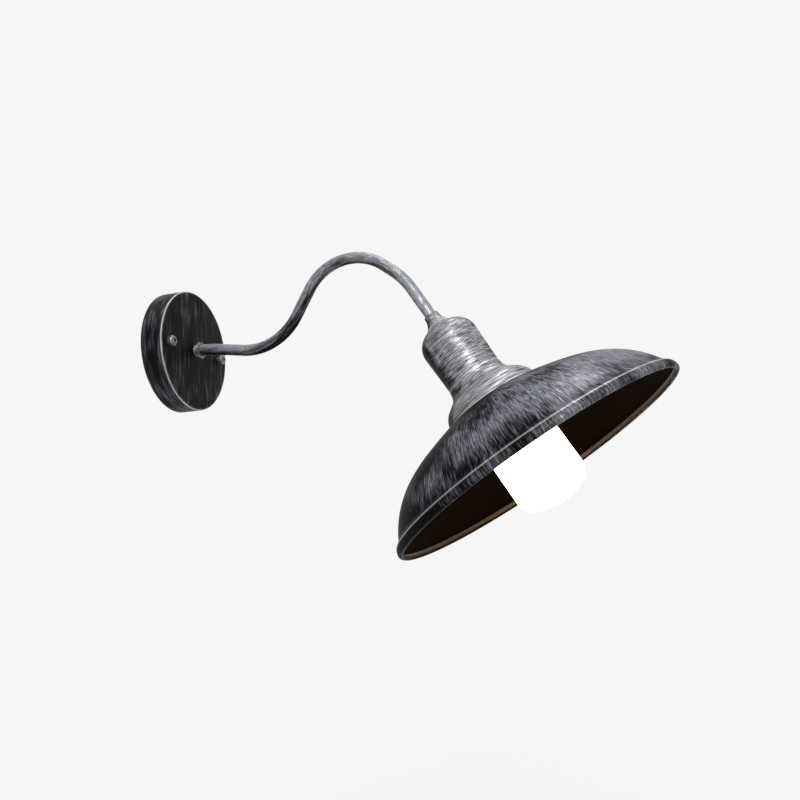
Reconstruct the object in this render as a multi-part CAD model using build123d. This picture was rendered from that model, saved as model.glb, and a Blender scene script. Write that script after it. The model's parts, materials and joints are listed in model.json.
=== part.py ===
from build123d import *
import math
import os

# Gooseneck wall sconce, in millimetres.
# +Z is up, the wall is the plane Y = 0 and the room lies towards -Y.
# The origin is the centre of the round canopy, on the wall.

# ---- fits and clearances ----
thread_clearance = 0.05      # radial room in a threaded joint
seat_gap = 0.1               # between pieces that are clamped or slipped together
free_gap = 0.3               # between pieces that pass or move past each other
cut_margin = 1.0             # how far a cut runs past the piece that it opens
sides = (-1, 1)              # left and right of the plane X = 0

# ---- canopy on the wall ----
canopy_radius = 60.0
canopy_depth = 22.5
canopy_wall = 1.2
canopy_edge_radius = 1.5
fixing_offset = 46.0         # studs, each side of the centre, on a level line
fixing_hole_radius = 2.3

# ---- wall bracket: a joggled strap with an ear for the terminal block ----
strap_width = 22.0
strap_thickness = 2.0
strap_flat_half = 33.0       # half length of the part that lies on the wall
strap_half = 53.0
strap_step = 4.0             # how far the ends stand off the wall
strap_ramp = 5.0
slot_spacing = 44.0
slot_length = 12.0
slot_width = 5.0
cable_hole_radius = 6.5
ear_width = 44.0
ear_drop = 38.0              # from the centre to the ear's lower edge

# ---- studs and nuts that hold the canopy ----
stud_radius = 2.0
stud_head_radius = 4.0
stud_head_height = 2.2
stud_grip = 3.5              # how far the stud reaches into the canopy nut
lock_nut_flats = 7.0
lock_nut_height = 3.0
canopy_nut_radius = 5.25
canopy_nut_height = 6.0
canopy_nut_crown = 2.2       # height of the rounded part
canopy_nut_recess_radius = 1.9
canopy_nut_recess_depth = 2.0
canopy_nut_lip = 0.4         # flat ring between recess and crown

# ---- arm: one tube, bent in the plane X = 0 ----
tube_radius = 5.5
tube_bore_radius = 4.0
arm_thread_radius = 5.0
arm_rear_reach = 1.0         # thread that shows behind the back nut
root_corner = (10.5, 0.0)    # corners of the centreline, (out from the tube's shoulder, up)
dip_corner = (84.6, -11.8)
crest_corner = (149.3, 96.9)
fall_corner = (215.0, 43.0)
root_bend = 120.0            # bend radii at those corners
dip_bend = 56.7
crest_bend = 50.8
fall_bend = 74.3
arm_last_run = 46.0          # from the last corner to the cup
arm_front_thread = 29.0      # length of the thread inside the cup
head_tilt = 30.8             # degrees between the shade's axis and upright

# ---- pieces round the arm's root ----
bush_radius = 5.9
bush_height = 6.0
bush_groove_depth = 0.6
bush_groove_width = 1.1
bush_groove_count = 2
flange_radius = 8.3
flange_thickness = 1.0
arm_nut_flats = 14.0
arm_nut_height = 3.0
washer_radius = 8.5
washer_thickness = 0.8

# ---- head heights, measured up the shade's axis from the rim's plane ----
cup_top = 172.0
cup_ceiling = 160.0
cup_collar_radius = 6.9
cup_wall = 1.1
cup_flare_bend = 18.2
cup_flare_turn = 64.3
cup_start_heading = -89.7    # degrees, where straight down is -90
cup_shoulder_bend = 17.6
cup_shoulder_turn = 66.4
neck_step_bend = 1.0
neck_step_turn = 45.0
skirt_flare_bend = 13.6
skirt_flare_turn = 55.1
skirt_run = 7.2
skirt_lip_bend = 17.1
skirt_lip_turn = 38.5
skirt_foot = 5.4             # straight last part of the skirt

# ---- shade ----
shade_thickness = 1.0
shade_seat = 69.4            # height of the flat top of the shade
shade_flat_radius = 45.8
shade_hole_clearance = 0.6
shade_start_bend = 10.0      # the dome's four arcs, from the seat outwards
shade_start_turn = 17.4
shade_crown_bend = 470.0
shade_crown_turn = 5.3
shade_dome_bend = 107.6
shade_dome_turn = 9.8
shade_side_bend = 82.6
shade_side_turn = 31.2
rim_corner_bend = 1.6
rim_corner_turn = 23.0
rim_ledge = 4.6
rim_edge_bend = 7.2
rim_edge_turn = 41.0
rim_band = 1.0
rim_roll_bend = 2.8
rim_roll_turn = 130.0

# ---- lamp holder ----
holder_radius = 20.0
holder_wall = 2.0
holder_mouth = 60.0
holder_top = 127.0
holder_flange_radius = 24.0
holder_flange_height = 3.0
holder_cap_top = 154.0
holder_cap_wall = 1.8
holder_boss_radius = 8.5
holder_boss_height = 9.0
grub_radius = 1.5
grub_proud = 1.0             # how far the lock screw stands out of its boss
shade_ring_radius = 26.0
shade_ring_height = 7.0
shade_ring_notches = 12
notch_radius = 1.4
notch_offset = 0.7           # from the ring's outer face to a notch's middle
notch_height = 4.7
insert_bottom = 93.0
insert_height = 19.0
insert_ledge = 1.6
tongue_root = 9.6            # from the axis to the tongue's root
tongue_overhang = 3.0        # past the axis
tongue_width = 5.0
tongue_thickness = 0.5
tongue_slope = 23.0
terminal_inset = 8.9         # from the porcelain's edge to a terminal's middle
terminal_size = 7.0
terminal_screw_height = 4.5  # from the porcelain to the screw's axis
terminal_wire_run = 5.9      # straight end of a wire above its terminal
terminal_screw_radius = 1.5
terminal_screw_head = 2.3
terminal_head_height = 1.4
screw_slot_width = 0.6
screw_slot_depth = 0.6
stem_radius = 1.5

# ---- screw thread of lamp and holder, as rings of the standard pitch ----
thread_pitch = 3.629
thread_turns = 6
thread_mean_radius = 12.65
thread_depth = 1.0
shell_thickness = 0.35

# ---- lamp ----
lamp_tip = 88.0
lamp_tip_radius = 4.6
lamp_tip_height = 1.4
lamp_tip_fillet = 0.8
lamp_cap_top = 84.0
lamp_radius = 33.0
lamp_joint = 34.0            # height where housing and diffuser meet
lamp_side_end = -13.0
lamp_corner_bend = 16.0
lamp_corner_turn = 65.0
lamp_wall = 1.5
lamp_neck_radius = 13.6
lamp_spigot_radius = 11.6    # neck of the housing inside the cap
lamp_spigot_length = 8.0
lamp_neck_run = 2.5
lamp_neck_bend = 5.0
lamp_neck_slope = 25.0       # degrees of the shoulder cone
lamp_shoulder_bend = 12.0
spreader_thickness = 1.5
board_thickness = 1.0
chip_count = 16
chip_circle_radius = 21.0
chip_size = 2.8
chip_height = 0.7
driver_width = 18.0
driver_height = 28.0
driver_thickness = 1.6
capacitor_radius = 4.0
capacitor_height = 11.0
capacitor_lift = 5.6         # from the driver board's foot

# ---- wiring ----
wire_radius = 1.1
wire_spacing = 3.2           # between the two wires inside the tube
wire_turn = -12.0            # height at which the wires leave the block for the tube
wire_leave = 4.8             # straight end of a wire below the tube
run_share = 0.45             # part of a straight run that a bend may take up
block_width = 26.0
block_height = 16.0
block_depth = 12.0
block_top = -20.0            # upper face of the block, below the centre
pole_pitch = 8.0
pole_out = 8.0               # distance of the pole bores from the wall
pole_tube_radius = 2.3
pole_bore_radius = 1.35
pole_screw_radius = 1.2
pole_screw_head = 1.7
pole_screw_head_height = 1.7
pole_screw_step = 8.0
block_screw_radius = 1.1
block_screw_head = 2.0
block_screw_head_height = 1.0
earth_position = (-17.5, -17.0)
earth_screw_radius = 2.0
earth_screw_head = 3.8
earth_screw_head_height = 2.3
earth_lug_radius = 4.2
earth_lug_thickness = 0.8
earth_lug_reach = 8.0
earth_lug_barrel = 3.5
earth_loop_top = 7.0         # height that the earth wire rises to
earth_loop_drop = 4.0        # how much lower it turns on the block's side

# ---- places worked out from the values above ----
tilt = math.radians(head_tilt)
canopy_face_inside = canopy_depth - canopy_wall
arm_shoulder = canopy_depth + bush_height + flange_thickness
arm_rear_end = canopy_face_inside - washer_thickness - arm_nut_height - arm_rear_reach
arm_corners = [(arm_shoulder + out, up) for out, up in (root_corner, dip_corner, crest_corner, fall_corner)]
arm_bends = [root_bend, dip_bend, crest_bend, fall_bend]
stud_end = canopy_depth + stud_grip
head_drop = arm_last_run + cup_top
rim_out = arm_corners[-1][0] + head_drop * math.sin(tilt)
rim_up = fall_corner[1] - head_drop * math.cos(tilt)
wall_plane = Plane(origin=(0, 0, 0), x_dir=(1, 0, 0), z_dir=(0, -1, 0))
head_plane = Plane(
    origin=(0, -rim_out, rim_up), x_dir=(1, 0, 0), z_dir=(0, math.sin(tilt), math.cos(tilt))
)
on_wall = Location(wall_plane)
on_head = Location(head_plane)
insert_radius = holder_radius - holder_wall - seat_gap
terminal_offset = insert_radius - terminal_inset
lamp_cap_bottom = lamp_cap_top - thread_turns * thread_pitch
housing_top = lamp_cap_bottom - shell_thickness
board_top = lamp_joint + spreader_thickness
tongue_root_height = insert_bottom - seat_gap
insert_top = insert_bottom + insert_height
block_middle = block_top - block_height / 2
block_front = strap_thickness + block_depth
pole_count = 3
barrel_radius = wire_radius + thread_clearance + earth_lug_thickness
barrel_out = strap_thickness + seat_gap + barrel_radius
pole_places = [pole_pitch * (index - (pole_count - 1) / 2) for index in range(pole_count)]
pole_screw_places = [block_middle + side * pole_screw_step / 2 for side in sides]


# ---- helpers ----
def wall_point(x, up, out):
    """A point given by its place across, its height and its distance from the wall."""
    return wall_plane.from_local_coords((x, up, out))


def head_point(x, back, height):
    """A point given in the head's frame, with its height up the shade's axis."""
    return head_plane.from_local_coords((x, back, height))


def rod(radius, low, high, x=0.0, y=0.0):
    """A round bar along the local Z axis from low to high."""
    return Pos(x, y, (low + high) / 2) * Cylinder(radius, high - low)


def ring(outer, inner, low, high):
    """A plain ring or washer on the local Z axis."""
    return rod(outer, low, high) - rod(inner, low - cut_margin, high + cut_margin)


def hex_nut(flats, bore, low, high):
    """A hexagon nut on the local Z axis, with a clear bore."""
    hexagon = RegularPolygon(flats / 2, 6, major_radius=False)
    body = extrude(Pos(0, 0, low) * hexagon, high - low)
    return body - rod(bore, low - cut_margin, high + cut_margin)


def chain(start, heading, moves):
    """Start, middle and end of each move of a smooth chain, each as (radius, height).

    A move is (length,) for a straight run or (radius, turn) for an arc, with the
    turn in degrees, positive to the left. Heading 0 points outwards, 90 upwards.
    """
    spans = []
    r, h = start
    angle = math.radians(heading)
    for move in moves:
        places = [(r, h)]
        for share in (0.5, 1.0):
            if len(move) == 1:
                length = move[0] * share
                places.append((r + length * math.cos(angle), h + length * math.sin(angle)))
            else:
                side = math.copysign(move[0], move[1])
                swung = angle + math.radians(move[1]) * share
                across = side * (math.sin(swung) - math.sin(angle))
                along = side * (math.cos(angle) - math.cos(swung))
                places.append((r + across, h + along))
        if len(move) == 2:
            angle += math.radians(move[1])
        r, h = places[2]
        spans.append(places)
    return spans


def chain_end(start, heading, moves):
    """Where a chain ends."""
    return chain(start, heading, moves)[-1][2]


def walk(start, heading, moves):
    """Edges of a chain in the XZ plane."""
    edges = []
    for move, places in zip(moves, chain(start, heading, moves)):
        first, middle, last = [(r, 0, h) for r, h in places]
        edges.append(Line(first, last) if len(move) == 1 else ThreePointArc(first, middle, last))
    return edges


def offset_moves(moves, distance):
    """The same chain carried to the right by distance: left arcs grow, right arcs shrink."""
    carried = []
    for move in moves:
        if len(move) == 1:
            carried.append(move)
        else:
            grown = distance if move[1] > 0 else -distance
            carried.append((move[0] + grown, move[1]))
    return carried


def beside(start, heading, distance):
    """The point at distance to the right of start."""
    angle = math.radians(heading)
    return (start[0] + distance * math.sin(angle), start[1] - distance * math.cos(angle))


def spun_body(start, heading, moves):
    """A full body spun round the Z axis, whose outer side is the chain of moves."""
    end = chain_end(start, heading, moves)
    top = Line((0, 0, start[1]), (start[0], 0, start[1]))
    foot = Line((end[0], 0, end[1]), (0, 0, end[1]))
    axis = Line((0, 0, end[1]), (0, 0, start[1]))
    return revolve(Face(Wire([top] + walk(start, heading, moves) + [foot, axis])), Axis.Z)


def spun_sheet(start, heading, moves, wall):
    """A sheet of even wall, spun round the Z axis, whose outer side is the chain of moves."""
    inner_start = beside(start, heading, wall)
    inner_moves = offset_moves(moves, wall)
    end = chain_end(start, heading, moves)
    inner_end = chain_end(inner_start, heading, inner_moves)
    edges = walk(start, heading, moves) + walk(inner_start, heading, inner_moves)
    edges.append(Line((start[0], 0, start[1]), (inner_start[0], 0, inner_start[1])))
    edges.append(Line((end[0], 0, end[1]), (inner_end[0], 0, inner_end[1])))
    return revolve(Face(Wire(edges)), Axis.Z)


def save(name, shape, place=None):
    """Write one sub-part, moved from its local frame to its place."""
    placed = place * shape if place is not None else shape
    export_step(placed, "parts/" + name + ".step")


# ---- bracket and canopy, in the wall's frame: X across, Y up, Z out from the wall ----
def wall_bracket():
    """Strap that lies on the wall in the middle, with raised ends for the studs."""
    end_half = strap_flat_half + strap_ramp
    lower = [(0, 0), (strap_flat_half, 0), (end_half, strap_step), (strap_half, strap_step)]
    upper = [(x, z + strap_thickness) for x, z in reversed(lower)]
    half = Polyline([(x, 0, z) for x, z in lower + upper], close=True)
    half_strap = extrude(make_face(half), strap_width / 2, both=True)
    strap = half_strap + half_strap.mirror(Plane.YZ)
    ear_top = -strap_width / 2
    ear = Pos(0, (ear_top - ear_drop) / 2, strap_thickness / 2) * Box(
        ear_width, ear_drop + ear_top, strap_thickness
    )
    low = -cut_margin
    high = strap_thickness + cut_margin
    body = strap + ear - rod(cable_hole_radius, low, high)
    for side in sides:
        slot = SlotOverall(slot_length, slot_width)
        body -= Pos(side * slot_spacing / 2, 0, low) * extrude(slot, high - low)
        body -= rod(stud_radius + seat_gap, low, strap_step + high, x=side * fixing_offset)
    body -= rod(earth_screw_radius + thread_clearance, low, high, *earth_position)
    body -= rod(block_screw_radius + thread_clearance, low, high, pole_pitch / 2, block_middle)
    return body


def bracket_stud(side):
    """Stud with its head behind the raised end of the strap."""
    x = side * fixing_offset
    head = rod(stud_head_radius, strap_step - stud_head_height, strap_step, x=x)
    return head + rod(stud_radius, strap_step, stud_end, x=x)


def stud_lock_nut(side):
    """Hexagon nut that locks the stud on the front of the strap."""
    low = strap_step + strap_thickness
    nut = hex_nut(lock_nut_flats, stud_radius + thread_clearance, low, low + lock_nut_height)
    return Pos(side * fixing_offset, 0, 0) * nut


def canopy_shell():
    """Spun dish with a soft front edge and holes for the arm and the two studs."""
    hole = arm_thread_radius + seat_gap
    face_run = canopy_radius - canopy_edge_radius - hole
    side_run = canopy_depth - canopy_edge_radius
    moves = [(face_run,), (canopy_edge_radius, -90), (side_run,)]
    dish = spun_sheet((hole, canopy_depth), 0, moves, canopy_wall)
    low = canopy_face_inside - cut_margin
    for side in sides:
        dish -= rod(fixing_hole_radius, low, canopy_depth + cut_margin, side * fixing_offset)
    return dish


def canopy_nut(side):
    """Round nut with a crowned head and a small recess in its middle."""
    top = canopy_depth + canopy_nut_height
    crown_start = top - canopy_nut_crown
    flat = canopy_nut_recess_radius + canopy_nut_lip
    reach = canopy_nut_radius - flat
    share = math.sin(math.pi / 4)
    middle = (flat + reach * share, 0, crown_start + canopy_nut_crown * share)
    edge = (canopy_nut_radius, 0, crown_start)
    wall = Polyline((0, 0, canopy_depth), (canopy_nut_radius, 0, canopy_depth), edge)
    crown = ThreePointArc(edge, middle, (flat, 0, top))
    back = Polyline((flat, 0, top), (0, 0, top), (0, 0, canopy_depth))
    nut = revolve(make_face(wall.edges() + crown.edges() + back.edges()), Axis.Z)
    nut -= rod(canopy_nut_recess_radius, top - canopy_nut_recess_depth, top + cut_margin)
    nut -= rod(stud_radius + thread_clearance, canopy_depth - cut_margin, stud_end + seat_gap)
    return Pos(side * fixing_offset, 0, 0) * nut


def root_bush():
    """Grooved bush round the arm's thread, between the canopy and the flange."""
    low = canopy_depth
    high = arm_shoulder - flange_thickness
    bush = ring(bush_radius, arm_thread_radius + seat_gap, low, high)
    for place in range(bush_groove_count):
        middle = low + (high - low) * (place + 1) / (bush_groove_count + 1)
        groove = ring(
            bush_radius + cut_margin,
            bush_radius - bush_groove_depth,
            middle - bush_groove_width / 2,
            middle + bush_groove_width / 2,
        )
        bush -= groove
    return bush


def arm_flange():
    """Thin disc under the tube's shoulder."""
    low = arm_shoulder - flange_thickness
    return ring(flange_radius, arm_thread_radius + seat_gap, low, arm_shoulder)


def arm_back_washer():
    """Washer on the inside of the canopy's face."""
    high = canopy_face_inside
    return ring(washer_radius, arm_thread_radius + seat_gap, high - washer_thickness, high)


def arm_back_nut():
    """Nut that clamps the arm to the canopy from inside."""
    high = canopy_face_inside - washer_thickness
    return hex_nut(arm_nut_flats, arm_thread_radius + thread_clearance, high - arm_nut_height, high)


# ---- arm ----
def arm_tube():
    """Bent tube, turned down to a thread at both ends."""
    inside = arm_last_run + arm_front_thread
    last_out, last_up = arm_corners[-1]
    tip = (last_out + inside * math.sin(tilt), last_up - inside * math.cos(tilt))
    line = [(arm_rear_end, 0.0)] + arm_corners + [tip]
    path = FilletPolyline(*[wall_point(0, up, out) for out, up in line], radius=arm_bends)
    start = Plane(origin=path @ 0, z_dir=path % 0)
    tube = sweep(start * Circle(tube_radius), path=path)
    bore = sweep(start * Circle(tube_bore_radius), path=path)
    outer = tube_radius + cut_margin
    rear = ring(outer, arm_thread_radius, arm_rear_end - cut_margin, arm_shoulder)
    front = ring(outer, arm_thread_radius, cup_top - arm_front_thread - cut_margin, cup_top)
    return tube - bore - on_wall * rear - on_head * front


# ---- cup and shade, in the head's frame: Z up the shade's axis from the rim's plane ----
def cup_moves(neck_length):
    """Outer side of the cup: flared top, straight neck, a small step and a bell skirt."""
    return [
        (cup_flare_bend, cup_flare_turn),
        (cup_shoulder_bend, -cup_shoulder_turn),
        (neck_length,),
        (neck_step_bend, neck_step_turn),
        (neck_step_bend, -neck_step_turn),
        (skirt_flare_bend, skirt_flare_turn),
        (skirt_run,),
        (skirt_lip_bend, -skirt_lip_turn),
        (skirt_foot,),
    ]


def neck_cup():
    """Spun cup whose neck is as long as its skirt needs to stand on the shade."""
    top = (cup_collar_radius, cup_top)
    neck_heading = cup_start_heading + cup_flare_turn - cup_shoulder_turn
    short_end = chain_end(top, cup_start_heading, cup_moves(0.0))
    neck_length = (short_end[1] - shade_seat) / math.sin(math.radians(-neck_heading))
    moves = cup_moves(neck_length) + [(cup_wall,)]
    outer = spun_body(top, cup_start_heading, moves)
    inside_top = beside(top, cup_start_heading, cup_wall)
    inner = spun_body(inside_top, cup_start_heading, offset_moves(moves, cup_wall))
    reach = 2 * shade_flat_radius
    lowest = shade_seat - cup_wall - cut_margin
    hollow = inner & rod(reach, lowest, cup_ceiling)
    bore = rod(arm_thread_radius + seat_gap, cup_ceiling - cut_margin, cup_top + cut_margin)
    return outer - hollow - rod(reach, lowest, shade_seat) - bore


def cup_washer():
    """Washer under the cup's ceiling."""
    return ring(washer_radius, arm_thread_radius + seat_gap, cup_ceiling - washer_thickness, cup_ceiling)


def cup_nut():
    """Nut that clamps the cup against the arm's shoulder."""
    high = cup_ceiling - washer_thickness
    return hex_nut(arm_nut_flats, arm_thread_radius + thread_clearance, high - arm_nut_height, high)


def shade():
    """Spun shade: flat seat, dome, and a rim that steps out and rolls under."""
    hole = holder_radius + shade_hole_clearance
    moves = [
        (shade_flat_radius - hole,),
        (shade_start_bend, -shade_start_turn),
        (shade_crown_bend, -shade_crown_turn),
        (shade_dome_bend, -shade_dome_turn),
        (shade_side_bend, -shade_side_turn),
        (rim_corner_bend, rim_corner_turn),
        (rim_ledge,),
        (rim_edge_bend, -rim_edge_turn),
        (rim_band,),
        (rim_roll_bend, -rim_roll_turn),
    ]
    return spun_sheet((hole, shade_seat), 0, moves, shade_thickness)


# ---- lamp holder ----
def holder_cap():
    """Domed cap that screws on the arm's thread and closes the holder."""
    boss_low = holder_cap_top - holder_boss_height
    cone_top = Circle(holder_boss_radius)
    cone_foot = Circle(holder_radius)
    outer = loft([Pos(0, 0, holder_top) * cone_foot, Pos(0, 0, boss_low) * cone_top])
    inner_top = Pos(0, 0, boss_low - holder_cap_wall) * Circle(holder_boss_radius - holder_cap_wall)
    inner_foot = Pos(0, 0, holder_top) * Circle(holder_radius - holder_cap_wall)
    cap = outer - loft([inner_foot, inner_top])
    cap += rod(holder_boss_radius, boss_low, holder_cap_top)
    bore_low = boss_low - 2 * holder_cap_wall
    cap -= rod(arm_thread_radius + thread_clearance, bore_low, holder_cap_top + cut_margin)
    return cap - grub_hole(grub_radius + thread_clearance)


def grub_hole(radius):
    """Round bar across the boss wall, for the lock screw and its hole."""
    middle = holder_cap_top - holder_boss_height / 2
    low = arm_thread_radius + seat_gap
    length = holder_boss_radius + grub_proud - low
    bar = Rot(0, 90, 0) * Cylinder(radius, length)
    return Pos(low + length / 2, 0, middle) * bar


def holder_grub_screw():
    """Lock screw in the boss that stops the holder turning on the arm."""
    return grub_hole(grub_radius)


def holder_body():
    """Sleeve with a shoulder above the shade and a thread for the shade ring below it."""
    body = ring(holder_radius, holder_radius - holder_wall, holder_mouth, holder_top)
    ledge_high = insert_bottom - shell_thickness
    ledge_inner = holder_radius - holder_wall - insert_ledge
    body += ring(holder_radius, ledge_inner, ledge_high - 2 * holder_wall, ledge_high)
    flange = ring(
        holder_flange_radius,
        holder_radius - holder_wall / 2,
        shade_seat,
        shade_seat + holder_flange_height,
    )
    return body + flange


def shade_ring():
    """Ring on the holder's thread that clamps the shade from below, with finger notches."""
    high = shade_seat - shade_thickness
    low = high - shade_ring_height
    clamp = ring(shade_ring_radius, holder_radius + thread_clearance, low, high)
    reach = shade_ring_radius + notch_offset
    for index in range(shade_ring_notches):
        angle = 2 * math.pi * index / shade_ring_notches
        x, y = reach * math.cos(angle), reach * math.sin(angle)
        clamp -= rod(notch_radius, low - cut_margin, low + notch_height, x, y)
    return clamp


def insert_block():
    """Porcelain block that carries the contacts, with a hole for each contact's stem."""
    block = rod(insert_radius, insert_bottom, insert_top)
    low, high = insert_bottom - cut_margin, insert_top + cut_margin
    for side in sides:
        block -= rod(stem_radius + seat_gap, low, high, x=side * terminal_offset)
    return block


def contact_terminal(side):
    """Brass block on the porcelain, with a wire hole, a screw hole and a stem below."""
    x = side * terminal_offset
    middle = insert_top + terminal_size / 2
    block = Pos(x, 0, middle) * Box(terminal_size, terminal_size, terminal_size)
    high = insert_top + terminal_size + cut_margin
    block -= rod(wire_radius + seat_gap, middle - wire_radius, high, x=x)
    block -= contact_screw_bar(side, terminal_screw_radius + thread_clearance, 0, terminal_size)
    return block + rod(stem_radius, insert_bottom, insert_top + stem_radius / 2, x=x)


def contact_screw_bar(side, radius, low, high):
    """Bar across a terminal, between two distances from the wire's middle."""
    bar = Rot(0, 90, 0) * Cylinder(radius, high - low)
    return Pos(side * (terminal_offset + (low + high) / 2), 0, insert_top + terminal_screw_height) * bar


def contact_screw(side):
    """Slotted screw that clamps the wire in a terminal."""
    face = terminal_size / 2
    screw = contact_screw_bar(side, terminal_screw_radius, wire_radius + seat_gap, face)
    screw += contact_screw_bar(side, terminal_screw_head, face, face + terminal_head_height)
    slot = Box(2 * screw_slot_depth, screw_slot_width, 3 * terminal_screw_head)
    outside = side * (terminal_offset + face + terminal_head_height)
    return screw - Pos(outside, 0, insert_top + terminal_screw_height) * slot


def thread_moves():
    """Rounded rings of the lamp thread, from the first crest downwards."""
    half_pitch = thread_pitch / 2
    swing = 2 * math.atan(thread_depth / half_pitch)
    radius = half_pitch / (2 * math.sin(swing))
    turn = math.degrees(2 * swing)
    moves = [(radius, -turn), (radius, turn)]
    return moves * thread_turns, math.degrees(swing)


def screw_shell():
    """Threaded brass shell that takes the lamp, with a flange on the holder's ledge."""
    moves, swing = thread_moves()
    spread = free_gap + shell_thickness
    heading = -90 + swing
    start = beside((thread_mean_radius, lamp_cap_top), heading, -spread)
    shell = spun_sheet(start, heading, offset_moves(moves, -spread), shell_thickness)
    collar_outer = start[0] + shell_thickness / 2
    collar_inner = collar_outer - shell_thickness
    collar = ring(collar_outer, collar_inner, start[1] - shell_thickness, insert_bottom)
    flange = ring(insert_radius, collar_inner, insert_bottom - shell_thickness, insert_bottom)
    return shell + collar + flange


def contact_tongue():
    """Spring tongue that slopes from its root beside the axis to the lamp's tip."""
    low = lamp_tip + seat_gap / 2
    drop = tongue_root_height - tongue_thickness - low
    run = drop / math.tan(math.radians(tongue_slope))
    line = [(-tongue_root, tongue_root_height), (run - tongue_root, low + tongue_thickness)]
    line.append((tongue_overhang, low + tongue_thickness))
    upper = [(x, 0, h) for x, h in line]
    lower = [(x, 0, h - tongue_thickness) for x, h in reversed(line)]
    strip = make_face(Polyline(*(upper + lower), close=True))
    return extrude(strip, tongue_width / 2, both=True)


# ---- lamp ----
def lamp_cap():
    """Threaded metal cap of the lamp."""
    moves, swing = thread_moves()
    return spun_sheet((thread_mean_radius, lamp_cap_top), -90 + swing, moves, shell_thickness)


def lamp_insulator():
    """Black glass cone between the cap and the tip."""
    high = lamp_tip - lamp_tip_height
    foot = Pos(0, 0, lamp_cap_top) * Circle(thread_mean_radius - shell_thickness)
    return loft([foot, Pos(0, 0, high) * Circle(lamp_tip_radius + seat_gap)])


def lamp_tip_contact():
    """Solder tip of the lamp."""
    low = lamp_tip - lamp_tip_height
    tip = rod(lamp_tip_radius, low, lamp_tip)
    return fillet(tip.edges().group_by(Axis.Z)[-1], lamp_tip_fillet)


def housing_moves():
    """Outer side of the lamp's plastic housing, from its neck to the joint."""
    slope_turn = 90 - lamp_neck_slope
    fixed = [(lamp_neck_run,), (lamp_neck_bend, slope_turn)]
    last = (lamp_shoulder_bend, -slope_turn)
    start = (lamp_neck_radius, housing_top)
    end = chain_end(start, -90, fixed + [last])
    cone = (lamp_radius - end[0]) / math.cos(math.radians(lamp_neck_slope))
    moves = fixed + [(cone,), last]
    return moves + [(chain_end(start, -90, moves)[1] - lamp_joint,)]


def lamp_housing():
    """White plastic shell that carries the lamp's works, with a spigot inside the cap."""
    shell = spun_sheet((lamp_neck_radius, housing_top), -90, housing_moves(), lamp_wall)
    bore = lamp_spigot_radius - lamp_wall
    lid = ring(lamp_neck_radius, bore, housing_top - lamp_wall, housing_top)
    spigot = ring(lamp_spigot_radius, bore, housing_top - lamp_wall, housing_top + lamp_spigot_length)
    return shell + lid + spigot


def lamp_diffuser():
    """Opal shell with straight sides and a flattened round end."""
    dome_turn = 90 - lamp_corner_turn
    corner_reach = lamp_corner_bend * (1 - math.cos(math.radians(lamp_corner_turn)))
    dome_bend = (lamp_radius - corner_reach) / math.sin(math.radians(dome_turn))
    moves = [
        (lamp_joint - lamp_side_end,),
        (lamp_corner_bend, -lamp_corner_turn),
        (dome_bend, -dome_turn),
    ]
    return spun_sheet((lamp_radius, lamp_joint), -90, moves, lamp_wall)


def heat_spreader():
    """Aluminium disc in the lamp's joint."""
    return rod(lamp_radius - lamp_wall - seat_gap, lamp_joint, board_top)


def led_board():
    """Round board with the light sources on its lower face."""
    return rod(lamp_radius - 2 * lamp_wall, lamp_joint - board_thickness, lamp_joint)


def led_chips():
    """Ring of light sources, flat on the board."""
    high = lamp_joint - board_thickness
    chips = []
    for index in range(chip_count):
        place = Rot(0, 0, 360 * index / chip_count) * Pos(chip_circle_radius, 0, high - chip_height / 2)
        chips.append(place * Box(chip_size, chip_size, chip_height))
    return Compound(chips)


def driver_board():
    """Upright circuit board in the lamp's neck."""
    return Pos(0, 0, board_top + driver_height / 2) * Box(driver_width, driver_thickness, driver_height)


def driver_capacitor():
    """Round capacitor on the circuit board."""
    low = board_top + capacitor_lift
    middle = driver_thickness / 2 + capacitor_radius + thread_clearance
    return rod(capacitor_radius, low, low + capacitor_height, y=middle)


# ---- terminal block and wiring ----
def terminal_block():
    """Plastic block on the bracket's ear with three poles."""
    block = Box(block_width, block_height, block_depth)
    block = Pos(0, block_middle, strap_thickness + block_depth / 2) * block
    high = block_front + cut_margin
    for x in pole_places:
        block -= upright_bar(pole_tube_radius + thread_clearance, block_height + 2 * cut_margin, x)
        for y in pole_screw_places:
            block -= rod(pole_screw_head + seat_gap, pole_out, high, x, y)
    return block - rod(block_screw_radius + seat_gap, 0, high, pole_pitch / 2, block_middle)


def upright_bar(radius, length, x):
    """Bar along the wires of one pole."""
    return Pos(x, block_middle, pole_out) * (Rot(90, 0, 0) * Cylinder(radius, length))


def pole_tube(x):
    """Brass tube of one pole, with two tapped holes."""
    tube = upright_bar(pole_tube_radius, block_height, x)
    tube -= upright_bar(pole_bore_radius, block_height + 2 * cut_margin, x)
    for y in pole_screw_places:
        tube -= rod(pole_screw_radius + thread_clearance, pole_out, block_front, x, y)
    return tube


def slotted_head(radius, low, high, x, y):
    """Round screw head with a straight slot in its face."""
    slot = Box(3 * radius, screw_slot_width, 2 * screw_slot_depth)
    return rod(radius, low, high, x, y) - Pos(x, y, high) * slot


def pole_screw(x, y):
    """Slotted screw of one pole."""
    neck = pole_out + pole_tube_radius + seat_gap
    shank = rod(pole_screw_radius, pole_out + wire_radius + seat_gap, neck, x, y)
    return shank + slotted_head(pole_screw_head, neck, neck + pole_screw_head_height, x, y)


def block_screw():
    """Screw that holds the block on the ear."""
    x = pole_pitch / 2
    shank = rod(block_screw_radius, 0, block_front, x, block_middle)
    high = block_front + block_screw_head_height
    return shank + slotted_head(block_screw_head, block_front, high, x, block_middle)


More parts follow.
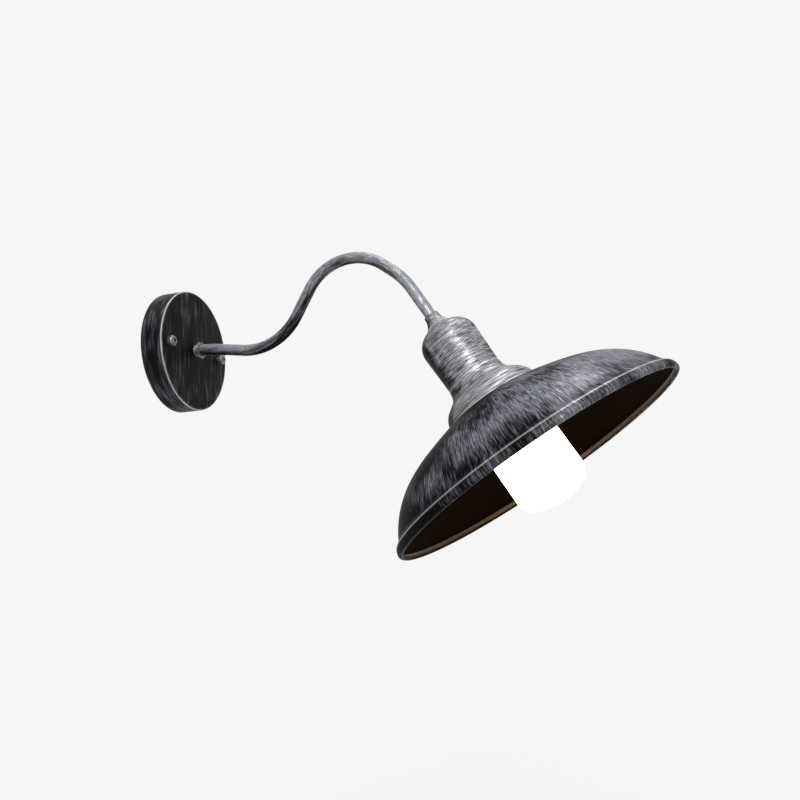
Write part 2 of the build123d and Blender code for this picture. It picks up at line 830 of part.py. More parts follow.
def earth_lug():
    """Ring tag under the earth screw, with a barrel for the wire."""
    x, y = earth_position
    low, high = strap_thickness, strap_thickness + earth_lug_thickness
    tag = Pos(x, y, 0) * ring(earth_lug_radius, earth_screw_radius + seat_gap, low, high)
    barrel_end = y + earth_lug_reach
    barrel_start = barrel_end - earth_lug_barrel
    bridge_start = y + earth_lug_radius - earth_lug_thickness
    bridge_length = barrel_start + earth_lug_thickness - bridge_start
    bridge = Box(2 * wire_radius, bridge_length, earth_lug_thickness)
    bridge = Pos(x, bridge_start + bridge_length / 2, (low + high) / 2) * bridge
    bore = wire_radius + thread_clearance
    barrel = Cylinder(barrel_radius, earth_lug_barrel) - Cylinder(bore, 2 * earth_lug_barrel)
    barrel = Pos(x, barrel_start + earth_lug_barrel / 2, barrel_out) * (Rot(90, 0, 0) * barrel)
    passage = Pos(x, barrel_end, barrel_out) * (Rot(90, 0, 0) * Cylinder(bore, 2 * earth_lug_reach))
    return tag + (bridge - passage) + barrel


def earth_screw():
    """Screw that clamps the earth tag to the ear."""
    x, y = earth_position
    seat = strap_thickness + earth_lug_thickness
    shank = rod(earth_screw_radius, 0, seat, x, y)
    return shank + slotted_head(earth_screw_head, seat, seat + earth_screw_head_height, x, y)


def largest_bends(points, given):
    """Bend radius at each inner corner: the given one, or the largest that its two runs allow."""
    bends = []
    for index in range(1, len(points) - 1):
        if index in given:
            bends.append(given[index])
            continue
        before = points[index] - points[index - 1]
        after = points[index + 1] - points[index]
        half_turn = math.radians(before.get_angle(after)) / 2
        bends.append(run_share * min(before.length, after.length) / math.tan(half_turn))
    return bends


def wire(name, points, given):
    """Round insulated wire along straight runs and tangent arcs."""
    bends = largest_bends(points, given)
    path = FilletPolyline(*points, radius=bends)
    body = sweep(Plane(origin=path @ 0, z_dir=path % 0) * Circle(wire_radius), path=path)
    expected = math.pi * wire_radius**2 * path.length
    print(name, "length", round(path.length, 1), "volume share", round(body.volume / expected, 4))
    print(name, "bend radii", [round(bend, 1) for bend in bends])
    return body


def arm_wire(name, pole, side):
    """Wire from a pole of the block, through the arm, to a contact of the holder."""
    x = side * wire_spacing / 2
    points = [
        wall_point(pole, pole_screw_places[-1], pole_out),
        wall_point(pole, wire_turn, pole_out),
        wall_point(x, 0, pole_out),
    ]
    given = {len(points) + index: bend for index, bend in enumerate(arm_bends)}
    points += [wall_point(x, up, out) for out, up in arm_corners]
    far = side * terminal_offset
    terminal_top = insert_top + terminal_size
    points.append(head_point(x, 0, cup_top - arm_front_thread - wire_leave))
    points.append(head_point(far, 0, terminal_top + terminal_wire_run))
    points.append(head_point(far, 0, insert_top + terminal_size / 2))
    return wire(name, points, given)


def earth_wire():
    """Wire from the first pole of the block to the earth tag, in a loop above both."""
    x, y = earth_position
    points = [
        wall_point(pole_places[0], pole_screw_places[-1], pole_out),
        wall_point(pole_places[0], earth_loop_top - earth_loop_drop, pole_out),
        wall_point(x, earth_loop_top, barrel_out),
        wall_point(x, y + earth_lug_reach - earth_lug_barrel, barrel_out),
    ]
    return wire("earth_wire", points, {})


# ---- write every sub-part ----
def group(solids):
    """Separate equal pieces that share one node."""
    return Compound(list(solids))


os.makedirs("parts", exist_ok=True)

save("wall_bracket", wall_bracket(), on_wall)
save("bracket_studs", group(bracket_stud(side) for side in sides), on_wall)
save("stud_lock_nuts", group(stud_lock_nut(side) for side in sides), on_wall)
save("canopy_shell", canopy_shell(), on_wall)
save("canopy_nuts", group(canopy_nut(side) for side in sides), on_wall)
save("root_bush", root_bush(), on_wall)
save("arm_flange", arm_flange(), on_wall)
save("arm_back_washer", arm_back_washer(), on_wall)
save("arm_back_nut", arm_back_nut(), on_wall)
save("arm_tube", arm_tube())
save("terminal_block", terminal_block(), on_wall)
save("terminal_tubes", group(pole_tube(x) for x in pole_places), on_wall)
save("terminal_screws", group(pole_screw(x, y) for x in pole_places for y in pole_screw_places), on_wall)
save("block_screw", block_screw(), on_wall)
save("earth_lug", earth_lug(), on_wall)
save("earth_screw", earth_screw(), on_wall)
save("earth_wire", earth_wire())
save("neutral_wire", arm_wire("neutral_wire", pole_places[1], -1))
save("live_wire", arm_wire("live_wire", pole_places[2], 1))

save("neck_cup", neck_cup(), on_head)
save("cup_washer", cup_washer(), on_head)
save("cup_nut", cup_nut(), on_head)
save("holder_cap", holder_cap(), on_head)
save("holder_grub_screw", holder_grub_screw(), on_head)
save("holder_body", holder_body(), on_head)
save("holder_insert", insert_block(), on_head)
save("contact_terminals", group(contact_terminal(side) for side in sides), on_head)
save("contact_screws", group(contact_screw(side) for side in sides), on_head)
save("screw_shell", screw_shell(), on_head)
save("contact_tongue", contact_tongue(), on_head)
save("shade", shade(), on_head)
save("shade_ring", shade_ring(), on_head)

save("lamp_cap", lamp_cap(), on_head)
save("lamp_insulator", lamp_insulator(), on_head)
save("lamp_tip_contact", lamp_tip_contact(), on_head)
save("lamp_housing", lamp_housing(), on_head)
save("heat_spreader", heat_spreader(), on_head)
save("led_board", led_board(), on_head)
save("led_chips", led_chips(), on_head)
save("driver_board", driver_board(), on_head)
save("driver_capacitor", driver_capacitor(), on_head)
save("lamp_diffuser", lamp_diffuser(), on_head)
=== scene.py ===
import json
import math

import bmesh
import bpy
import numpy as np
from mathutils import Matrix, Vector

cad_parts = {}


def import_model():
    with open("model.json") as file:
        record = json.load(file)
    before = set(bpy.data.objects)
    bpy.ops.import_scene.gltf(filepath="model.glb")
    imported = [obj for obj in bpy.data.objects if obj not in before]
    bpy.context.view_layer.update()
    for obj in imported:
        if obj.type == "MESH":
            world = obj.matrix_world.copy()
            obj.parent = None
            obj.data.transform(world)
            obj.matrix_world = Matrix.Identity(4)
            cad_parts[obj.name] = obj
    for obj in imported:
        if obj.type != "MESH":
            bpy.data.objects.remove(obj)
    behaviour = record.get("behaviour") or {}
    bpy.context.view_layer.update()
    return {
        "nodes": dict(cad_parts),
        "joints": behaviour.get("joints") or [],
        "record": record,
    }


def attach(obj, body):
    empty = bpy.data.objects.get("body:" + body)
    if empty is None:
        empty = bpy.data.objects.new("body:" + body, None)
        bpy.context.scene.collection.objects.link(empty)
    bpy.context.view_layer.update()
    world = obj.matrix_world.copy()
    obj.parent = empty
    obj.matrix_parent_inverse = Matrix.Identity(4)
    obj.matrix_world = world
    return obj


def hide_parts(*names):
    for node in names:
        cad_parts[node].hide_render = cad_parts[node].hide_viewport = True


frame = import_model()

# Gooseneck wall sconce. The wall is the plane y = 0, the arm reaches out along -y and z is
# up. Lengths are millimetres unless a comment says metres; angles are degrees. Meshes are
# written in metres.
MM = 0.001

# ---- photograph's view ----
CAMERA_PLACE = (-689.52, -442.93, -197.11)
CAMERA_RIGHT = (0.29823, -0.95306, -0.05224)
CAMERA_UP = (-0.14863, -0.10043, 0.98378)
SENSOR_WIDTH = 36.0
LENS_PER_SENSOR = 1.0        # focal length over the frame's width
CLIP_NEAR = 0.01             # metres
CLIP_FAR = 200.0             # metres

# ---- canopy and root of the arm ----
CANOPY_RADIUS = 60.0
CANOPY_DEPTH = 22.5
CANOPY_WALL = 1.2
CANOPY_EDGE = 1.5            # bend radius of the front edge
CANOPY_LINE = 0.8            # bright line: this share of the bend radius past the flat
NUT_OFFSET = 46.0
NUT_RADIUS = 5.25
NUT_HEIGHT = 6.0
NUT_CROWN = 2.2
NUT_LIP = 0.4                # flat ring between recess and crown
NUT_RECESS_RADIUS = 1.9
NUT_RECESS_DEPTH = 2.0
NUT_RECESS_EDGE = (0.12, 0.15)  # broken edge of the recess, across and down
NUT_FOOT = 0.3               # chamfer against the canopy
STUD_REACH = 26.1
STUD_RADIUS = 2.05
BUSH_RADIUS = 5.9
BUSH_BORE = 5.1
BUSH_GROOVE_DEPTH = 0.6
BUSH_RIBS = 3
BUSH_RIB_POWER = 0.6         # under 1 makes a rib fuller than its sine wave
FLANGE_FLAT = 8.0            # radius at which the flat ends and the rounded rim starts
FLANGE_THICKNESS = 1.0

# ---- arm ----
TUBE_RADIUS = 5.5
TUBE_BORE = 4.0
TUBE_EDGE = 0.3              # chamfer at both ends of the full tube
THREAD_RADIUS = 5.0
THREAD_EDGE = 0.5            # chamfer at the ends of the threads
ARM_REAR = 16.5
ARM_SHOULDER = 29.5
ARM_CORNERS = ((40.0, 0.0), (114.1, -11.8), (178.8, 96.9), (244.5, 43.0))
ARM_BENDS = (120.0, 56.7, 50.8, 74.3)
ARM_FRONT_THREAD = 29.0
ARM_STEP = 2.5               # about the step between points of the centreline
ARM_CLEAR = 0.4              # no such point is closer to the full tube's ends

# ---- head, heights up the shade's axis from the rim's plane ----
# A move is (length,) for a straight run, or (bend radius, turn) for an arc, left positive.
CUP_TOP = 172.0
CUP_CEILING = 160.0
CUP_COLLAR = 6.9
CUP_WALL = 1.1
CUP_HOLE = 5.1
CUP_HEADING = -89.7
CUP_SHOULDER = ((18.2, 64.3), (17.6, -66.4))
CUP_SKIRT = ((1.0, 45.0), (1.0, -45.0), (13.6, 55.1), (7.2,), (17.1, -38.5), (5.4,))
CUP_RING_LINE = 1.2          # bright line on the raised ring, past the end of the neck
SHADE_SEAT = 69.4
SHADE_WALL = 1.0
SHADE_HOLE = 20.6
SHADE_FLAT = 45.8
SHADE_DOME = ((10.0, -17.4), (470.0, -5.3), (107.6, -9.8), (82.6, -31.2))
SHADE_RIM = ((1.6, 23.0), (4.6,), (7.2, -41.0), (1.0,), (2.8, -130.0))
SHADE_LINE = 1.2             # bright line, past the end of the rim's first straight run
SHADE_LIP = 8.0              # width of the band inside the rolled edge painted brown with the lamp's glow
LAMP_RADIUS = 33.0
LAMP_JOINT = 34.0
LAMP_SIDE_END = -13.0
LAMP_WALL = 1.5
LAMP_CORNER = (16.0, 65.0)   # bend radius and turn

# ---- how finely surfaces are drawn ----
RUN_STEP = 3.0               # about the step along a straight run
ARC_STEP = 4.0               # about the step along an arc
ARC_TURN = 4.0               # largest turn between two points of an arc
END_POINTS = 4               # points of a sheet's half-round edge
NUT_CROWN_POINTS = 9
BUSH_RIB_POINTS = 14
CANOPY_COLUMNS = 224         # columns are the points round a piece
NUT_COLUMNS = 48
BUSH_COLUMNS = 72
FLANGE_COLUMNS = 96
ARM_COLUMNS = 40
CUP_COLUMNS = 160
SHADE_COLUMNS = 288
LAMP_COLUMNS = 96
FLOOR_POINTS = 5             # along each side
SHARP_ANGLE = 38.0           # faces that meet at a larger angle keep a sharp edge
ONE_POINT = 1e-7             # metres: points closer than this are one
NO_EDGE = 1e-8               # metres: shorter edges are dropped

# ---- how the silver was brushed on, with painted light and shade laid into it ----
EDGE_LINE = 1.1              # half width of the bright line on canopy and shade: brushed edge and painted highlight
LIP_LINE = 1.5               # the same on the shade's rolled edge
CUP_LINE = 1.6               # the same on the cup
CUP_FLANK = 0.7              # how much more silver on the cup's flanks: a painted highlight
SHADE_FLANK = 0.36           # the same on the shade
WALL_SHADE = 0.3              # less silver on the side towards the wall: painted shade
HEAD_EASE = 0.5              # how much lighter it is all over cup and shade
ARM_BRIGHT = (0.62, 0.3)     # where the arm turns brighter, a painted highlight, and over how far, as shares of it
ARM_DARK = (0.2, 0.3, 0.14)  # dark bend, painted shade: how much less silver, place and half width
ARM_LIT_TOP = 0.28               # how much more silver on the upper side: painted light, the underside in painted shade


def joint(name):
    """The record's entry for one joint."""
    return next(entry for entry in frame["joints"] if entry["name"] == name)


# The shade's axis and the centre of its rim, read from the lamp's joint. The rows of HEAD
# and WALL are the directions of a spun piece's own x, y and axis.
RIM_CENTRE = Vector(joint("lamp_unscrew")["pos_m"]) / MM
AXIS_UP = -Vector(joint("lamp_unscrew")["axis"]).normalized()
HEAD = np.array([[1, 0, 0], list(AXIS_UP.cross(Vector((1, 0, 0)))), list(AXIS_UP)])
HEAD_ORIGIN = np.array(RIM_CENTRE)
WALL = np.array([[1, 0, 0], [0, 0, 1], [0, -1, 0]])
WALL_ORIGIN = np.zeros(3)
ARM_END = HEAD_ORIGIN + CUP_TOP * HEAD[2]


# ---- lines ----
def straight(start, end, count):
    """Points of a straight run in count equal steps, without its start."""
    return start + np.linspace(0, 1, count + 1)[1:, None] * (end - start)


def arc(start, heading, bend, turn, count):
    """Points of an arc in count equal steps, without its start; angles in radians.

    With heading t and after a turn of a, the point has moved by R(sin(t+a) - sin t) across
    and R(cos t - cos(t+a)) up, with R negative for a right turn.
    """
    swung = heading + turn * np.linspace(0, 1, count + 1)[1:]
    radius = math.copysign(bend, turn)
    across = radius * (np.sin(swung) - math.sin(heading))
    up = radius * (math.cos(heading) - np.cos(swung))
    return start + np.stack([across, up], 1)


def arc_length(move):
    """Length of an arc: its bend radius times its turn."""
    return move[0] * math.radians(abs(move[1]))


def chain(start, heading, moves):
    """Points of a smooth chain of runs and arcs, as an array of (radius, height)."""
    points = [np.array([start], float)]
    angle = math.radians(heading)
    for move in moves:
        place = points[-1][-1]
        if len(move) == 1:
            end = place + move[0] * np.array([math.cos(angle), math.sin(angle)])
            points.append(straight(place, end, max(2, int(move[0] / RUN_STEP))))
        else:
            turn = math.radians(move[1])
            by_turn = math.ceil(abs(move[1]) / ARC_TURN)
            by_length = int(arc_length(move) / ARC_STEP)
            points.append(arc(place, angle, move[0], turn, max(2, by_turn, by_length)))
            angle += turn
    return np.concatenate(points)


def inside(moves, wall):
    """The same chain carried to its right by wall: left arcs grow and right arcs shrink."""
    return [m if len(m) == 1 else (m[0] + math.copysign(wall, m[1]), m[1]) for m in moves]


def round_end(first, last):
    """Points of the half circle from first to last, bulging to the left of that direction."""
    middle, reach = (first + last) / 2, (last - first) / 2
    out = np.array([-reach[1], reach[0]])
    angle = np.linspace(0, math.pi, END_POINTS + 2)[1:-1, None]
    return middle - reach * np.cos(angle) + out * np.sin(angle)


def sheet_loop(start, moves, wall):
    """Closed outline of a bent sheet that sets out level, away from the axis.

    It runs along the outer side, a half-round edge, the inner side and a half-round edge.
    The number of points on the outer side is returned too.
    """
    outer = chain(start, 0.0, moves)
    inner = chain((start[0], start[1] - wall), 0.0, inside(moves, wall))[::-1]
    rim, bore = round_end(outer[-1], inner[0]), round_end(inner[-1], outer[0])
    return np.concatenate([outer, rim, inner, bore]), len(outer)


def lengths(points):
    """Distance run along a list of points, from the first."""
    return np.concatenate([[0.0], np.cumsum(np.linalg.norm(np.diff(points, axis=0), axis=1))])


def around(columns):
    """Angles of equal steps round a circle, in radians."""
    return np.linspace(0, 2 * math.pi, columns, endpoint=False)


def bells(distance, rows):
    """Sum of bells h exp(-((d - p) / w)^2); a row is (height h, place p, half width w)."""
    return sum(h * np.exp(-(((distance - p) / w) ** 2)) for h, p, w in rows)


# ---- surfaces ----
def surface(name, grid, closed, grain=0.0, rub_and_highlight=0.0, press_and_light=0.0, splits=()):
    """Mesh of a grid of points, rows by columns, in millimetres.

    Four neighbours make a face; closed joins the last row and column to the first ones.
    grain is the place, in millimetres, that the brushed finish reads. The edge rub is how
    much an edge catches the brush, and partly a painted highlight on the bright lines and
    the arm's end; the press is how hard the brush was pressed, laid out partly as painted
    light and shade, with 0 as usual.
    splits are the rows where the second and the third material start.
    """
    rows, columns = grid.shape[:2]
    index = np.arange(rows * columns).reshape(rows, columns)
    right = np.roll(index, -1, axis=1)
    down, both = np.roll(index, -1, axis=0), np.roll(right, -1, axis=0)
    quads = np.stack([index, right, both, down], -1)
    if not closed:
        quads = quads[:-1, :-1]
    row_of = np.repeat(np.arange(quads.shape[0]), quads.shape[1])
    mesh = bpy.data.meshes.new(name)
    mesh.from_pydata((grid.reshape(-1, 3) * MM).tolist(), [], quads.reshape(-1, 4).tolist())
    layers = (
        ("grain", "FLOAT_VECTOR", "vector", grain, grid.shape),
        ("rub_and_highlight", "FLOAT", "value", rub_and_highlight, grid.shape[:2]),
        ("press_and_light", "FLOAT", "value", press_and_light, grid.shape[:2]),
    )
    for label, kind, key, values, shape in layers:
        layer = mesh.attributes.new(label, kind, "POINT")
        layer.data.foreach_set(key, np.broadcast_to(values, shape).astype(np.float32).ravel())
    material_of = np.searchsorted(splits, row_of, side="right").astype(np.int32)
    mesh.polygons.foreach_set("material_index", material_of)
    mesh.update()
    close_up(mesh)
    piece = bpy.data.objects.new(name, mesh)
    bpy.context.scene.collection.objects.link(piece)
    return piece


def close_up(mesh):
    """Merges doubled points, drops empty faces, turns faces outwards and shades smoothly."""
    work = bmesh.new()
    work.from_mesh(mesh)
    bmesh.ops.remove_doubles(work, verts=work.verts, dist=ONE_POINT)
    bmesh.ops.dissolve_degenerate(work, edges=work.edges, dist=NO_EDGE)
    bmesh.ops.recalc_face_normals(work, faces=work.faces)
    work.to_mesh(mesh)
    work.free()
    mesh.shade_smooth()
    mesh.set_sharp_from_angle(angle=math.radians(SHARP_ANGLE))


def spin(name, outline, place, origin, columns, rub_and_highlight=0.0, press_and_light=0.0, splits=()):
    """Surface of revolution: the point (r, h) goes round to (r cos a, r sin a, h).

    The grain is the circle of the widest point, with the distance along the outline as
    its third number, so a stroke keeps its direction and has no seam. The edge rub, partly
    a painted highlight, has a value for each point of the outline, and the press, partly
    painted light and shade, one for each point of the surface.
    """
    angle = around(columns)
    circle = np.stack([np.cos(angle), np.sin(angle)], 1)
    local = np.zeros((len(outline), columns, 3))
    local[..., :2] = outline[:, None, :1] * circle
    local[..., 2] = outline[:, 1:2]
    grain = np.zeros_like(local)
    grain[..., :2] = outline[:, 0].max() * circle
    grain[..., 2] = lengths(outline)[:, None]
    rub_and_highlight = np.reshape(rub_and_highlight, (-1, 1))
    return surface(name, local @ place + origin, True, grain, rub_and_highlight, press_and_light, splits)


def head_press_and_light(flank, band, columns):
    """How much silver lies on the head: flank |cos a| - 0.3 sin a - 0.5 + band.

    That is a painted highlight along both flanks and painted shade towards the wall; band
    has a value for each point of the outline.
    """
    angle = around(columns)
    # painted highlight on both flanks, painted shade towards the wall
    turning = flank * abs(np.cos(angle)) - WALL_SHADE * np.sin(angle) - HEAD_EASE
    return turning + band[:, None]


def finish_piece(piece, nodes, materials, body="fixture"):
    """Gives a piece its materials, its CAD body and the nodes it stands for."""
    for material in materials:
        piece.data.materials.append(material)
    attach(piece, body)
    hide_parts(*nodes)


# ---- canopy, nuts, bush and flange ----
def canopy(finish, side_finish):
    """Spun dish: flat face, soft front edge, straight side, with the sheet's own wall.

    The bright line, a brushed edge with a painted highlight, lies near the middle of the
    edge's bend; the side's finish starts there.
    """
    flat = CANOPY_RADIUS - CANOPY_EDGE - BUSH_BORE
    side = CANOPY_DEPTH - CANOPY_EDGE - CANOPY_WALL / 2
    moves = ((flat,), (CANOPY_EDGE, -90.0), (side,))
    outline, _ = sheet_loop((BUSH_BORE, CANOPY_DEPTH), moves, CANOPY_WALL)
    run = lengths(outline)
    line = flat + CANOPY_LINE * CANOPY_EDGE
    rub_and_highlight = bells(run, [(1.0, line, EDGE_LINE)])
    turned = int(np.argmax(run > line))
    piece = spin("canopy", outline, WALL, WALL_ORIGIN, CANOPY_COLUMNS, rub_and_highlight, splits=(turned,))
    finish_piece(piece, ["canopy_shell"], [finish, side_finish])


def canopy_nuts(finish):
    """Two round nuts: straight side, quarter-ellipse crown, sunk middle, bore for the stud."""
    top = CANOPY_DEPTH + NUT_HEIGHT
    lip = NUT_RECESS_RADIUS + NUT_LIP
    angle = np.linspace(0, math.pi / 2, NUT_CROWN_POINTS)
    crown_radius = lip + (NUT_RADIUS - lip) * np.cos(angle)
    crown_height = top - NUT_CROWN * (1 - np.sin(angle))
    recess_floor = top - NUT_RECESS_DEPTH
    rest = [
        (NUT_RECESS_RADIUS + NUT_RECESS_EDGE[0], top),
        (NUT_RECESS_RADIUS, top - NUT_RECESS_EDGE[1]),
        (NUT_RECESS_RADIUS, recess_floor),
        (0.0, recess_floor),
        (0.0, STUD_REACH),
        (STUD_RADIUS, STUD_REACH),
        (STUD_RADIUS, CANOPY_DEPTH),
        (NUT_RADIUS - NUT_FOOT, CANOPY_DEPTH),
        (NUT_RADIUS, CANOPY_DEPTH + NUT_FOOT),
    ]
    outline = np.concatenate([np.stack([crown_radius, crown_height], 1), rest])
    for side, label in ((-1, "left"), (1, "right")):
        origin = np.array([side * NUT_OFFSET, 0.0, 0.0])
        piece = spin("canopy_nut_" + label, outline, WALL, origin, NUT_COLUMNS)
        finish_piece(piece, ["canopy_nuts"], [finish])


def root_bush(finish):
    """Turned bush: ribs with grooves between them.

    With w = |sin| over each rib, the radius is the bush's less the groove's depth times
    (1 - w^0.6).
    """
    low, high = CANOPY_DEPTH, ARM_SHOULDER - FLANGE_THICKNESS
    share = np.linspace(0, 1, BUSH_RIBS * BUSH_RIB_POINTS + 1)
    wave = np.abs(np.sin(math.pi * BUSH_RIBS * share))
    radius = BUSH_RADIUS - BUSH_GROOVE_DEPTH * (1 - wave**BUSH_RIB_POWER)
    outer = np.stack([radius, high - (high - low) * share], 1)
    outline = np.concatenate([outer, [(BUSH_BORE, low), (BUSH_BORE, high)]])
    piece = spin("root_bush", outline, WALL, WALL_ORIGIN, BUSH_COLUMNS)
    finish_piece(piece, ["root_bush"], [finish])


def arm_flange(finish):
    """Thin disc with a half-round rim."""
    moves = ((FLANGE_FLAT - BUSH_BORE,),)
    outline, _ = sheet_loop((BUSH_BORE, ARM_SHOULDER), moves, FLANGE_THICKNESS)
    piece = spin("arm_flange", outline, WALL, WALL_ORIGIN, FLANGE_COLUMNS)
    finish_piece(piece, ["arm_flange"], [finish])


# ---- arm ----
def arm_line():
    """Centreline in (out, up): straight runs joined by arcs tangent at each corner.

    At a corner that turns by a, the arc of radius R starts R tan(a/2) before it.
    """
    end, last_corner = np.array([-ARM_END[1], ARM_END[2]]), np.array(ARM_CORNERS[-1])
    tip = end + ARM_FRONT_THREAD * (end - last_corner) / np.linalg.norm(end - last_corner)
    corners = [np.array(place, float) for place in ((ARM_REAR, 0.0), *ARM_CORNERS, tip)]
    points = [corners[0][None]]
    for before, corner, after, bend in zip(corners, corners[1:], corners[2:], ARM_BENDS):
        arrive = (corner - before) / np.linalg.norm(corner - before)
        leave = (after - corner) / np.linalg.norm(after - corner)
        turn = math.atan2(arrive[0] * leave[1] - arrive[1] * leave[0], arrive @ leave)
        start = corner - arrive * bend * math.tan(abs(turn) / 2)
        run = np.linalg.norm(start - points[-1][-1])
        points.append(straight(points[-1][-1], start, max(2, int(run / ARM_STEP))))
        heading = math.atan2(arrive[1], arrive[0])
        points.append(arc(start, heading, bend, turn, max(4, int(bend * abs(turn) / ARM_STEP))))
    run = np.linalg.norm(tip - points[-1][-1])
    points.append(straight(points[-1][-1], tip, int(run / ARM_STEP)))
    return np.concatenate(points)


def arm(finish):
    """Tube carried along its centreline: each station is a circle across the line.

    The outline runs out along the tube's outside and back along its bore, and steps down
    to the thread's radius at both ends. near_cup goes from 0 to 1 where the arm turns
    brighter, a painted highlight: the silver is rubbed by 0.35 near_cup and pressed by 0.2
    near_cup. It gets more silver on the upper side, with sin a, as painted light over
    painted shade beneath, and less in a bell on the dark bend, as painted shade.
    """
    line = arm_line()
    run = lengths(line)
    rear, front, tip = ARM_SHOULDER - ARM_REAR, run[-1] - ARM_FRONT_THREAD, run[-1]
    outside = run[(run > rear + ARM_CLEAR) & (run < front - ARM_CLEAR)]
    stations = [
        (0.0, TUBE_BORE),
        (0.0, THREAD_RADIUS - THREAD_EDGE),
        (THREAD_EDGE, THREAD_RADIUS),
        (rear, THREAD_RADIUS),
        (rear, TUBE_RADIUS - TUBE_EDGE),
        (rear + TUBE_EDGE, TUBE_RADIUS),
        *((place, TUBE_RADIUS) for place in outside),
        (front - TUBE_EDGE, TUBE_RADIUS),
        (front, TUBE_RADIUS - TUBE_EDGE),
        (front, THREAD_RADIUS),
        (tip - THREAD_EDGE, THREAD_RADIUS),
        (tip, THREAD_RADIUS - THREAD_EDGE),
        (tip, TUBE_BORE),
        *((place, TUBE_BORE) for place in run[::-1][1:-1]),
    ]
    along, radius = np.array(stations).T[..., None]
    slope = np.gradient(line, run, axis=0)
    slope /= np.linalg.norm(slope, axis=1, keepdims=True)
    out, up, slope_out, slope_up = (np.interp(along, run, row) for row in (*line.T, *slope.T))
    angle = around(ARM_COLUMNS)
    across, over = np.cos(angle), np.sin(angle)
    places = radius * across, -(out - radius * slope_up * over), up + radius * slope_out * over
    grid = np.stack(np.broadcast_arrays(*places), -1)
    wrapped = TUBE_RADIUS * across, TUBE_RADIUS * over, along
    grain = np.stack(np.broadcast_arrays(*wrapped), -1)
    # painted highlight towards the cup, painted shade on the dark bend and under the tube
    share = along / tip
    near_cup = np.clip((share - ARM_BRIGHT[0]) / ARM_BRIGHT[1], 0, 1)
    press_and_light = 0.2 * near_cup - bells(share, [ARM_DARK]) + ARM_LIT_TOP * over
    piece = surface("arm", grid, True, grain, 0.35 * near_cup, press_and_light)
    finish_piece(piece, ["arm_tube"], [finish])


# ---- cup, shade and diffuser ----
def cup(finish, dark):
    """Spun cup: flared collar, shoulder, straight neck, raised ring, bell skirt.

    The neck is as long as it takes for the skirt to end on the shade's seat. Bright lines,
    brushed edges with a painted highlight, lie on the collar's bend, the ring and the lower
    edge; the skirt carries more silver as a painted highlight, the flanks a painted
    highlight and the side towards the wall painted shade.
    """
    start, beside = (CUP_COLLAR, CUP_TOP), (CUP_COLLAR - CUP_WALL, CUP_TOP)
    without_neck = chain(start, CUP_HEADING, CUP_SHOULDER + CUP_SKIRT)[-1, 1]
    dip = -CUP_HEADING - CUP_SHOULDER[0][1] - CUP_SHOULDER[1][1]
    neck = (without_neck - SHADE_SEAT) / math.sin(math.radians(dip))
    moves = CUP_SHOULDER + ((neck,),) + CUP_SKIRT
    outer = chain(start, CUP_HEADING, moves)
    inner = chain(beside, CUP_HEADING, inside(moves, CUP_WALL))[::-1]
    outer[-1, 1] = inner[0, 1] = SHADE_SEAT
    inner = inner[inner[:, 1] < CUP_CEILING]
    outline = np.concatenate([outer, inner, [(CUP_HOLE, CUP_CEILING), (CUP_HOLE, CUP_TOP)]])
    run = lengths(outline)
    shoulder, splits = sum(map(arc_length, CUP_SHOULDER)), (len(outer) - 1,)
    ring, lower_edge = shoulder + neck + CUP_RING_LINE, run[len(outer) - 1]
    rub_and_highlight = bells(run, [(0.75, place, CUP_LINE) for place in (0.35 * shoulder, ring, lower_edge)])
    # more silver on the skirt: a painted highlight
    skirt_highlight = bells(run, [(0.2, lower_edge - 7.0, 8.0)])
    press_and_light = head_press_and_light(CUP_FLANK, skirt_highlight, CUP_COLUMNS)
    piece = spin("neck_cup", outline, HEAD, HEAD_ORIGIN, CUP_COLUMNS, rub_and_highlight, press_and_light, splits)
    finish_piece(piece, ["neck_cup"], [finish, dark])


def shade(finish, lip, dark):
    """Spun shade: flat seat, dome of four arcs, stepped edge, and a rim rolled under.

    Bright lines, brushed edges with a painted highlight, lie on the rim's step and, faintly,
    on its rolled edge; the flanks carry a painted highlight and the wall side painted shade.
    """
    dome = ((SHADE_FLAT - SHADE_HOLE,),) + SHADE_DOME
    outline, outer = sheet_loop((SHADE_HOLE, SHADE_SEAT), dome + SHADE_RIM, SHADE_WALL)
    run = lengths(outline)
    dome_run = lengths(chain((SHADE_HOLE, SHADE_SEAT), 0.0, dome))[-1]
    step_line = dome_run + arc_length(SHADE_RIM[0]) + SHADE_RIM[1][0] + SHADE_LINE
    roll_line = run[outer - 1] - 2.0
    rub_and_highlight = bells(run, [(0.85, step_line, EDGE_LINE), (0.3, roll_line, LIP_LINE)])
    bands = (
        # how much more silver, distance along the outline, half width
        (0.3, dome_run - 20.0, 20.0),  # foot of the dome: painted highlight
        (0.1, step_line + 5.0, 4.0),   # roll of the rim
        (-0.13, 28.0, 30.0),           # beside the cup: painted shade
    )
    press_and_light = head_press_and_light(SHADE_FLANK, bells(run, bands), SHADE_COLUMNS)
    # the band inside the rolled edge takes the lip material, painted with the lamp's glow
    splits = outer + END_POINTS // 2, int(np.argmax(run > run[outer] + SHADE_LIP))
    piece = spin("shade", outline, HEAD, HEAD_ORIGIN, SHADE_COLUMNS, rub_and_highlight, press_and_light, splits)
    finish_piece(piece, ["shade"], [finish, lip, dark])


